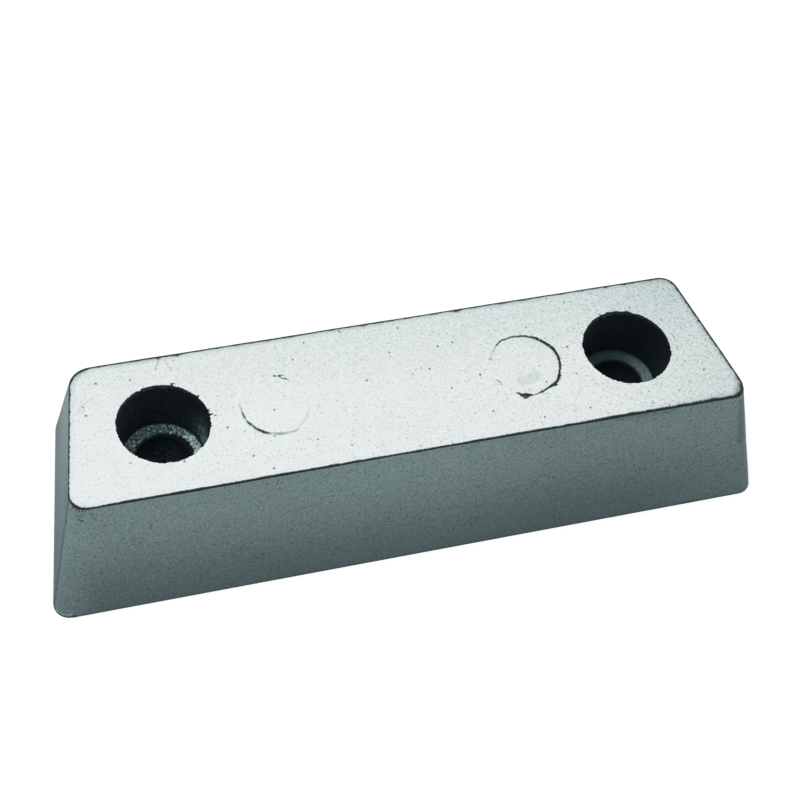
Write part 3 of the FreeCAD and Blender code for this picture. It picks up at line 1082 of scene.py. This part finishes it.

# %% [markdown]
# ## Marks from handling and from the mould
#
# Some marks have a place of their own. On the top they are curled burrs beside the left pin mark, a
# torn spot, a dash and a faint painted shade in the disc of the right one, bits of flash at the mouths
# of the holes, a crescent where a bolt's head slipped, and scratches. Pale lines beside the right mark
# and at the mouths of the holes are painted highlights. On the front they are the fine burrs below
# the left corner of the top edge, dirt at the foot, wide bands of painted shade under the top edge and
# down the right end and, at the foot's left end, chips of bright metal. They could be painted into an
# image, but lines stay sharp from close by, and a list says what each mark is. A band of painted
# shade is only a very wide and weak line, so all of them are listed alike: width, strength and points
# in millimetres. Those on the top use x and y, those on the front x and z.

# %% Lines on the top and on the front
TOP_MARKS = [
    (0.72, 1.00, (-25.42, 7.18), (-25.15, 7.10)),
    (0.62, 1.00, (-24.5, 6.97), (-24.15, 6.95)),
    (0.34, 0.62, (-24.4, 7.0), (-23.6, 7.05), (-23.1, 6.75)),
    (0.26, 0.30, (-23.1, 6.75), (-22.9, 6.3)),
    (0.38, 0.80, (-24.4, 6.85), (-24.0, 6.35), (-23.3, 6.0), (-22.95, 5.85)),
    (0.30, 0.55, (-22.95, 5.85), (-22.75, 5.6)),
    (0.55, 0.50, (-29.05, -7.42), (-28.75, -7.5)),
    (0.34, 0.25, (-32.6, 2.1), (-32.3, 1.55)),
    (0.34, 0.14, (-32.6, 3.9), (-31.8, 4.7)),
    (0.50, 0.75, (19.98, -2.87), (20.15, -3.2)),
    (0.45, 0.45, (20.15, -3.2), (20.65, -4.3)),
    (0.40, 0.30, (21.85, -6.1), (22.4, -5.75)),
    (0.45, 0.65, (22.9, -6.85), (23.5, -7.15)),
    (0.95, 1.00, (23.6, -7.15), (23.95, -7.6)),
    (0.90, 1.00, (25.0, -7.65), (25.75, -7.85)),
    (0.85, 0.95, (23.8, -7.7), (24.5, -8.45), (25.1, -8.25)),
    (0.60, 0.95, (23.3, -6.85), (23.7, -6.95)),
    (0.60, 0.95, (25.0, -7.35), (25.9, -7.6)),
    (0.55, 0.90, (24.2, -7.35), (25.2, -7.5)),
    (0.40, 0.30, (28.1, -8.25), (29.4, -8.2)),
    (0.65, 0.95, (33.15, -4.2), (33.5, -4.35)),
    (0.65, 0.95, (32.8, -4.95), (33.1, -5.1)),
    (0.80, 0.95, (31.4, -6.55), (31.95, -6.5)),
    (0.75, 0.95, (30.3, -6.7), (31.2, -6.0), (32.3, -5.35)),
    # Painted shade in the disc of the right mark.
    (3.6, 0.13, (25.2, -4.1), (28.8, -3.2)),
    (0.60, 0.95, (-46.5, 8.8), (-46.2, 9.25)),
    (0.50, 0.85, (-46.55, 9.35), (-45.8, 9.25)),
    (0.55, 0.95, (-41.95, 4.8), (-41.6, 5.35)),
    (0.55, 0.95, (-40.8, 1.5), (-40.3, 1.15)),
    (0.35, 0.65, (-40.35, 1.5), (-40.1, 1.75)),
    (0.62, 0.95, (-40.5, 0.45), (-39.9, 0.35)),
    (0.50, 0.85, (-39.43, -0.1), (-39.35, -0.1)),
    (0.45, 0.75, (47.2, 9.1), (46.95, 9.6)),
    (0.36, 0.40, (60.75, 1.63), (61.02, 0.6), (61.02, -0.6)),
    (0.42, 0.50, (60.9, -1.7), (60.6, -2.7)),
    (0.36, 0.42, (-48.94, 13.3), (-47.9, 15.2), (-47.3, 16.3)),
    (0.32, 0.34, (-46.35, 15.3), (-45.75, 12.6)),
    (0.40, 0.60, (-9.5, 16.0), (-9.1, 15.2)),
    (0.30, 0.22, (-66.5, 5.5), (-65.3, 7.4), (-62.5, 9.0)),
]
# Painted highlights: pale lines beside the right mark and at the mouths of the holes.
PAINTED_HIGHLIGHTS = [
    (0.40, 0.90, (26.8, -8.4), (28.2, -8.05), (29.1, -7.75), (30.5, -7.2)),
    (0.60, 0.60, (60.3, 1.5), (60.55, 0.3), (60.5, -1.2)),
    (0.40, 0.90, (-53.2, 9.3), (-52.8, 9.25)),
    (0.40, 0.70, (34.95, -3.5), (35.1, -2.2)),
]
FRONT_MARKS = [
    (0.40, 0.45, (-71.6, 27.2), (-71.7, 26.4)),
    (0.45, 0.70, (-71.0, 27.2), (-71.1, 26.2)),
    (0.40, 0.55, (-70.6, 27.2), (-70.5, 26.0)),
    (0.42, 0.70, (-70.1, 27.2), (-70.1, 26.1)),
    (0.40, 0.60, (-69.6, 27.2), (-69.4, 26.2)),
    (0.40, 0.50, (-69.0, 27.2), (-68.9, 26.3)),
    (0.38, 0.40, (-68.3, 27.2), (-68.2, 26.4)),
    (0.36, 0.30, (-67.5, 27.2), (-67.4, 26.5)),
    (0.32, 0.80, (-72.58, 21.6), (-72.5, 21.75)),
    (0.75, 0.50, (-70.2, 24.1), (-69.6, 24.0)),
    (0.55, 0.28, (-70.7, 25.1), (-69.9, 24.8)),
    (0.50, 0.70, (-76.6, 0.2), (-73.3, 0.2)),
    (0.90, 0.65, (-73.3, 0.45), (-72.8, 0.35)),
    (0.55, 0.65, (59.4, 0.3), (60.0, 0.45), (60.6, 0.15)),
    (0.60, 0.70, (61.0, 0.5), (61.5, 0.2), (62.2, 0.45)),
    (0.60, 0.60, (62.8, 0.2), (63.5, 0.4)),
    # Painted shade: wide bands under the top edge and down the right end of the front.
    (2.2, 0.16, (42.0, 26.4), (55.0, 26.0)),
    (3.0, 0.24, (70.8, 24.5), (72.0, 14.5)),
    (2.4, 0.12, (72.4, 14.0), (73.2, 8.0)),
]
CHIPS = [
    (0.50, 1.00, (-76.2, 0.65), (-75.95, 0.65)),
    (0.50, 1.00, (-75.5, 0.7), (-74.9, 0.7)),
    (0.55, 1.00, (-74.3, 0.85), (-73.7, 0.9)),
]
print(len(TOP_MARKS) + len(PAINTED_HIGHLIGHTS), "marks on the top,", len(FRONT_MARKS) + len(CHIPS), "on the front")

# %% [markdown]
# ## Grain, and planes to draw on
#
# The material starts from the place of a spot, in metres, and from the masks. A photo of cast metal
# could be wrapped round the bar, but it would stretch and repeat, and noise does neither. Noises of
# three sizes give the sandy skin: grains of less than half a millimetre, clumps and wide blotches. A
# fourth is turned and squeezed by a Mapping node, for the brushed look of the back half. Dots and
# lines are drawn on flat planes made from the place: one for the top, one for the front and one for
# all walls. The first two are shaken a little by the fine noise, so nothing on them has a clean edge.

# %% Grain and planes
GRAIN_SIZE = 0.00042
CLUMP_SIZE = 0.0015
BLOTCH_SIZE = 0.007
BRUSH_SIZE = 0.00045
BRUSH_TURN = math.radians(38)
BRUSH_SQUEEZE = 0.28
SHAKE = 0.0005

zinc = Finish(bpy.data.materials.new("cast zinc"))
place = zinc.node("TexCoord").output("Object")
x, y, z = zinc.split(place)
side, end, line, shade, hollow, bare, seam = (zinc.mask(name) for name in MASKS)

fine = zinc.noise(place, GRAIN_SIZE, detail=1.0, roughness=0.6)
coarse = zinc.noise(place, CLUMP_SIZE, detail=2.0)
blotch = zinc.noise(place, BLOTCH_SIZE, detail=3.0)
tilted = zinc.node("Mapping", inputs={
    "Vector": place, "Rotation": (0, 0, BRUSH_TURN), "Scale": (1.0, BRUSH_SQUEEZE, 1.0),
})
brushed = zinc.noise(tilted, BRUSH_SIZE, detail=1.0)
shaken = zinc.vector("MULTIPLY_ADD", {0: fine.output("Color"), 1: (SHAKE, SHAKE, 0.0), 2: place})
ragged_x, ragged_y, _ = zinc.split(shaken)
on_top = zinc.node("CombineXYZ", inputs={"X": ragged_x - SHAKE / 2, "Y": ragged_y - SHAKE / 2})
on_front = zinc.node("CombineXYZ", inputs={"X": ragged_x - SHAKE / 2, "Y": z})
on_walls = zinc.node("CombineXYZ", inputs={"X": x - y, "Y": z})
print("grain and planes:", len(zinc.tree.nodes), "nodes")

# %% [markdown]
# ## The tone of the top
#
# The tone is built up in layers: first the clean skin with its grain, pale at the left and darker
# towards the back and the far right, which is painted shade, then pores, specks and a stipple of dark
# grains, then the marks listed above. Each of these is a darkness of 0 to 1, and where two meet, the
# larger one counts. The tone is multiplied by what they leave over, so that a dark mark stays dark on
# pale and on shaded skin. The painted highlights are added to the tone of the skin. The grain is
# stronger at the right and at the back.

# %% Tone of the top
TOP_PALENESS = 0.905
back = y.step(-0.004, 0.016)
right = x.step(-0.060, 0.074)
far_right = x.step(0.034, 0.078)
# Painted shade: the top darkens towards the back and the far right.
top_tone = TOP_PALENESS - 0.045 * back - 0.010 * right - 0.125 * far_right - 0.056 * back * right
grain = (0.45 + 0.40 * right + 0.24 * back) * (0.50 * (fine - 0.5) + 0.09 * (coarse - 0.5))
brushing = 0.03 + 0.17 * back * x.step(-0.05, 0.03)
grain = grain + brushing * (brushed - 0.5) + 0.03 * (blotch - 0.5)
pores = 0.75 * zinc.dots(on_top, spacing=0.0034, share=0.42, radius=0.00034)
specks = (0.22 + 0.16 * right) * zinc.dots(on_top, spacing=0.0013, share=0.40, radius=0.00026)
stipple = (0.08 + 0.05 * right + 0.26 * far_right) * fine.step(0.40, 0.28)
top_dark = pores.larger(specks).larger(stipple).larger(zinc.strokes(on_top, TOP_MARKS))
# The painted highlights brighten the tone.
top_tone = top_tone * (1 + grain) + 0.09 * zinc.strokes(on_top, PAINTED_HIGHLIGHTS)
print("with the tone of the top:", len(zinc.tree.nodes), "nodes")

# %% [markdown]
# ## The tone of the walls
#
# The walls get darker towards the foot, a painted shade, but less so at the two ends of the front.
# Their right half is a little darker, the round corner at the front left a little more, and the left
# end much darker than the long sides, all of it painted shade: the mask "end" is 1 there, and a high
# power of it keeps the corner out. A thin dark line where the bar meets what it stands on is a painted
# contact shadow. The marks of the front are kept off the other walls, whose points have the same x
# and z.

# %% Tone of the walls
WALL_PALENESS = 0.86
END_SHARPNESS = 40.0
# Painted shade: darker towards the foot, at the left end, the front-left corner and the right half.
lower = z.step(0.024, -0.001) * x.step(-0.077, -0.066, 0.42, 1.0) * x.step(0.042, 0.075, 1.0, 0.62)
shaded_end = end.power(END_SHARPNESS) * y.step(0.014, -0.022, 0.0, 0.60)
wall_tone = (WALL_PALENESS - 0.42 * lower) * (1 - shaded_end) * (1 - 0.10 * x.step(0.003, 0.033))
wall_tone = wall_tone * (1 - 0.10 * end.step(0.05, 0.45) * x.step(-0.060, -0.066))
# Painted contact shadow along the foot.
wall_tone = wall_tone * (1 - 0.3 * z.step(0.0008, 0.0002))
wall_grain = 0.95 * (fine - 0.5) + 0.10 * (coarse - 0.5) + 0.10 * (blotch - 0.5)
wall_specks = 0.45 * zinc.dots(on_walls, spacing=0.0011, share=0.30, radius=0.00028)
is_front = y.step(-0.012, -0.014) * side
wall_dark = wall_specks.larger(zinc.strokes(on_front, FRONT_MARKS) * is_front)
chips = 0.9 * zinc.strokes(on_front, CHIPS) * is_front
wall_tone = wall_tone * (1 + wall_grain) + chips
print("with the tone of the walls:", len(zinc.tree.nodes), "nodes")

# %% [markdown]
# ## Dark lines and colours
#
# The line along the top edge, a painted dark reflection, is the mask "line", cut off at a height that
# the noises move, so its border is ragged. The crevices of the pin marks are the mask "seam",
# thinned by the coarse noise: painted shade. Both darken the tone almost to black before it becomes a
# colour.

# %% Colours of the top and of the walls
LINE_DARKNESS = 0.98
WALL_LINE_DARKNESS = 0.97
# Painted dark reflection on the top edge and painted shade in the crevices.
edge = (line + 0.55 * (fine - 0.5) + 0.25 * (coarse - 0.5)).step(0.42, 0.80)
crevice = (seam * (1.15 - 0.5 * (coarse - 0.5).size())).smaller(1.0)
dark = edge.larger(crevice)
top = zinc.tones(top_tone * (1 - top_dark) * (1 - shade) * (1 - LINE_DARKNESS * dark), TOP_TONES)
walls = zinc.tones(wall_tone * (1 - wall_dark) * (1 - WALL_LINE_DARKNESS * dark), WALL_TONES)
print("with the colours:", len(zinc.tree.nodes), "nodes")

# %% [markdown]
# ## Inside the holes, and the finished material
#
# The inside of a hole is near black, a painted shade, where its mask of painted light is 0. Where
# that mask is higher, the painted light shows in wrinkled patches: a distorted noise of patch size,
# stronger in the left hole, and the grain on top of it. In the right hole a few painted glints lie on
# the wall above the seat.
# The masks "side" and "hollow" then choose between top, walls and insides. The relief is drawn by a
# Bump node from the same noises, so grain and colour lie on each other.

# %% Cast zinc
PATCH_SIZE = 0.0009
RELIEF_HEIGHT = 0.00010
patches = (zinc.noise(place, PATCH_SIZE, detail=2.0, distortion=1.0) - 0.5).size()
crinkle = patches.step(0.0, 0.14, -0.72, 0.52) * x.step(0.0, 0.02, 1.0, 0.25)
lit_grain = (fine - 0.5) * x.step(0.0, 0.02, 2.4, 0.9)
lit_patches = bare * (1 + crinkle) * (1 + lit_grain)
# Painted glints on the wall of the right hole, above the seat.
glints = 0.25 * zinc.dots(on_walls, spacing=0.0017, share=0.22, radius=0.00017)
glints = glints * x.step(0.050, 0.054) * z.step(0.0155, 0.0165)
insides = zinc.tones(lit_patches.larger(glints), HOLLOW_TONES)
skin = zinc.blend(zinc.blend(top, walls, side), insides, hollow)

relief = 0.5 * fine + 0.5 * coarse + 0.6 * blotch - 0.8 * pores
bump = zinc.node("Bump", inputs={"Strength": 0.5, "Distance": RELIEF_HEIGHT, "Height": relief})
zinc.surface(zinc.node("BsdfPrincipled", inputs={
    "Base Color": skin,
    "Metallic": 0.12 * (1 - hollow.larger(dark)),
    "Roughness": 0.5 + 0.12 * side + 0.5 * shaded_end * side + 0.38 * hollow,
    "Specular IOR Level": 0.25,
    "Normal": bump,
}))
mesh.materials.append(zinc.owner)
print("cast zinc:", len(zinc.tree.nodes), "nodes")

# %% [markdown]
# ## Floor and light
#
# The bar lies on a pale floor under one wide soft lamp above it, a little to the left and behind. The
# walls then fall into half shade, as they do in a light tent that is open at the front. Lamps all
# round would be evener, but top and walls would look alike. What the camera and reflections see as
# background is plain white, while the light that reaches the bar from all round is much weaker. The
# floor doesn't glow where the bar covers it, so the holes stay dark.

# %% Studio
FLOOR_SIZE = 3.0
FLOOR_GREY = 0.35
FLOOR_GLOW = 0.78
FILL_LIGHT = 0.22
LAMP_POWER = 5.2
LAMP_SIZE = (0.9, 0.7)
LAMP_PLACE = (-0.12, 0.12, 0.75)
half = FLOOR_SIZE / 2
floor_corners = [(-half, -half, 0), (half, -half, 0), (half, half, 0), (-half, half, 0)]
floor_mesh = bpy.data.meshes.new("floor")
floor_mesh.from_pydata(floor_corners, [], [(0, 1, 2, 3)])
floor = bpy.data.objects.new("floor", floor_mesh)
bpy.context.scene.collection.objects.link(floor)


def background_rays(finish):
    """1 for rays that show the background: from the camera, from gloss and through glass."""
    path = finish.node("LightPath")
    seen = [path.output(name) for name in ("Is Camera Ray", "Is Glossy Ray", "Is Transmission Ray")]
    return seen[0].larger(seen[1]).larger(seen[2])


pale_floor = Finish(bpy.data.materials.new("pale floor"))
floor_x, floor_y, _ = pale_floor.split(pale_floor.node("TexCoord").output("Object"))
covered = 0.99 * floor_x.size().step(0.062, 0.060) * floor_y.size().step(0.012, 0.010)
matt = pale_floor.node("BsdfDiffuse", inputs={"Color": (FLOOR_GREY, FLOOR_GREY, FLOOR_GREY, 1.0)})
strength = FLOOR_GLOW * background_rays(pale_floor) * (1 - covered)
glow = pale_floor.node("Emission", inputs={"Strength": strength})
pale_floor.surface(pale_floor.node("AddShader", inputs={0: matt, 1: glow}))
floor_mesh.materials.append(pale_floor.owner)

studio = Finish(bpy.data.worlds.new("studio"))
shown = background_rays(studio)
studio.surface(studio.node("Background", inputs={
    "Color": (1.0, 1.0, 1.0, 1.0), "Strength": FILL_LIGHT + (1 - FILL_LIGHT) * shown,
}))
bpy.context.scene.world = studio.owner

lamp_data = bpy.data.lights.new("overhead softbox", "AREA")
lamp_data.shape = "RECTANGLE"
lamp_data.size, lamp_data.size_y = LAMP_SIZE
lamp_data.energy = LAMP_POWER
lamp = bpy.data.objects.new("overhead softbox", lamp_data)
lamp.location = LAMP_PLACE
lamp.rotation_euler = (-lamp.location).to_track_quat("-Z", "Y").to_euler()
lamp.visible_glossy = False
bpy.context.scene.collection.objects.link(lamp)
print("lamp of", LAMP_POWER, "W, fill light of", FILL_LIGHT)

# %% [markdown]
# ## Camera
#
# The camera looks down on the bar from its left front. Its place is written as a photographer would
# set it: which way it looks, how steeply, how far it is from the point it aims at, how much it is
# rolled, and its lens. It could be dragged into place by hand, but numbers can be set again exactly.

# %% Camera
AIM = Vector((2.578, 5.115, 13.5)) * MM
DISTANCE = 435.48 * MM
LOOK_TURN = math.radians(24.33)
LOOK_DOWN = math.radians(54.033)
ROLL = math.radians(10.607)
LENS = 91.725

level = Vector((math.cos(LOOK_TURN), -math.sin(LOOK_TURN), 0.0))
ahead = Vector((0.0, 0.0, 1.0)).cross(level)
forward = ahead * math.cos(LOOK_DOWN) - Vector((0.0, 0.0, math.sin(LOOK_DOWN)))
upward = level.cross(forward)
right_axis = math.cos(ROLL) * level + math.sin(ROLL) * upward
up_axis = math.cos(ROLL) * upward - math.sin(ROLL) * level
camera_data = bpy.data.cameras.new("camera")
camera_data.lens = LENS
camera_data.clip_start = 0.01
camera = bpy.data.objects.new("camera", camera_data)
rotation = Matrix((right_axis, up_axis, -forward)).transposed().to_4x4()
camera.matrix_world = Matrix.Translation(AIM - DISTANCE * forward) @ rotation
bpy.context.scene.collection.objects.link(camera)
bpy.context.scene.camera = camera
bpy.context.scene.view_settings.view_transform = "Standard"
print("camera at", [round(v / MM, 1) for v in camera.location], "mm")
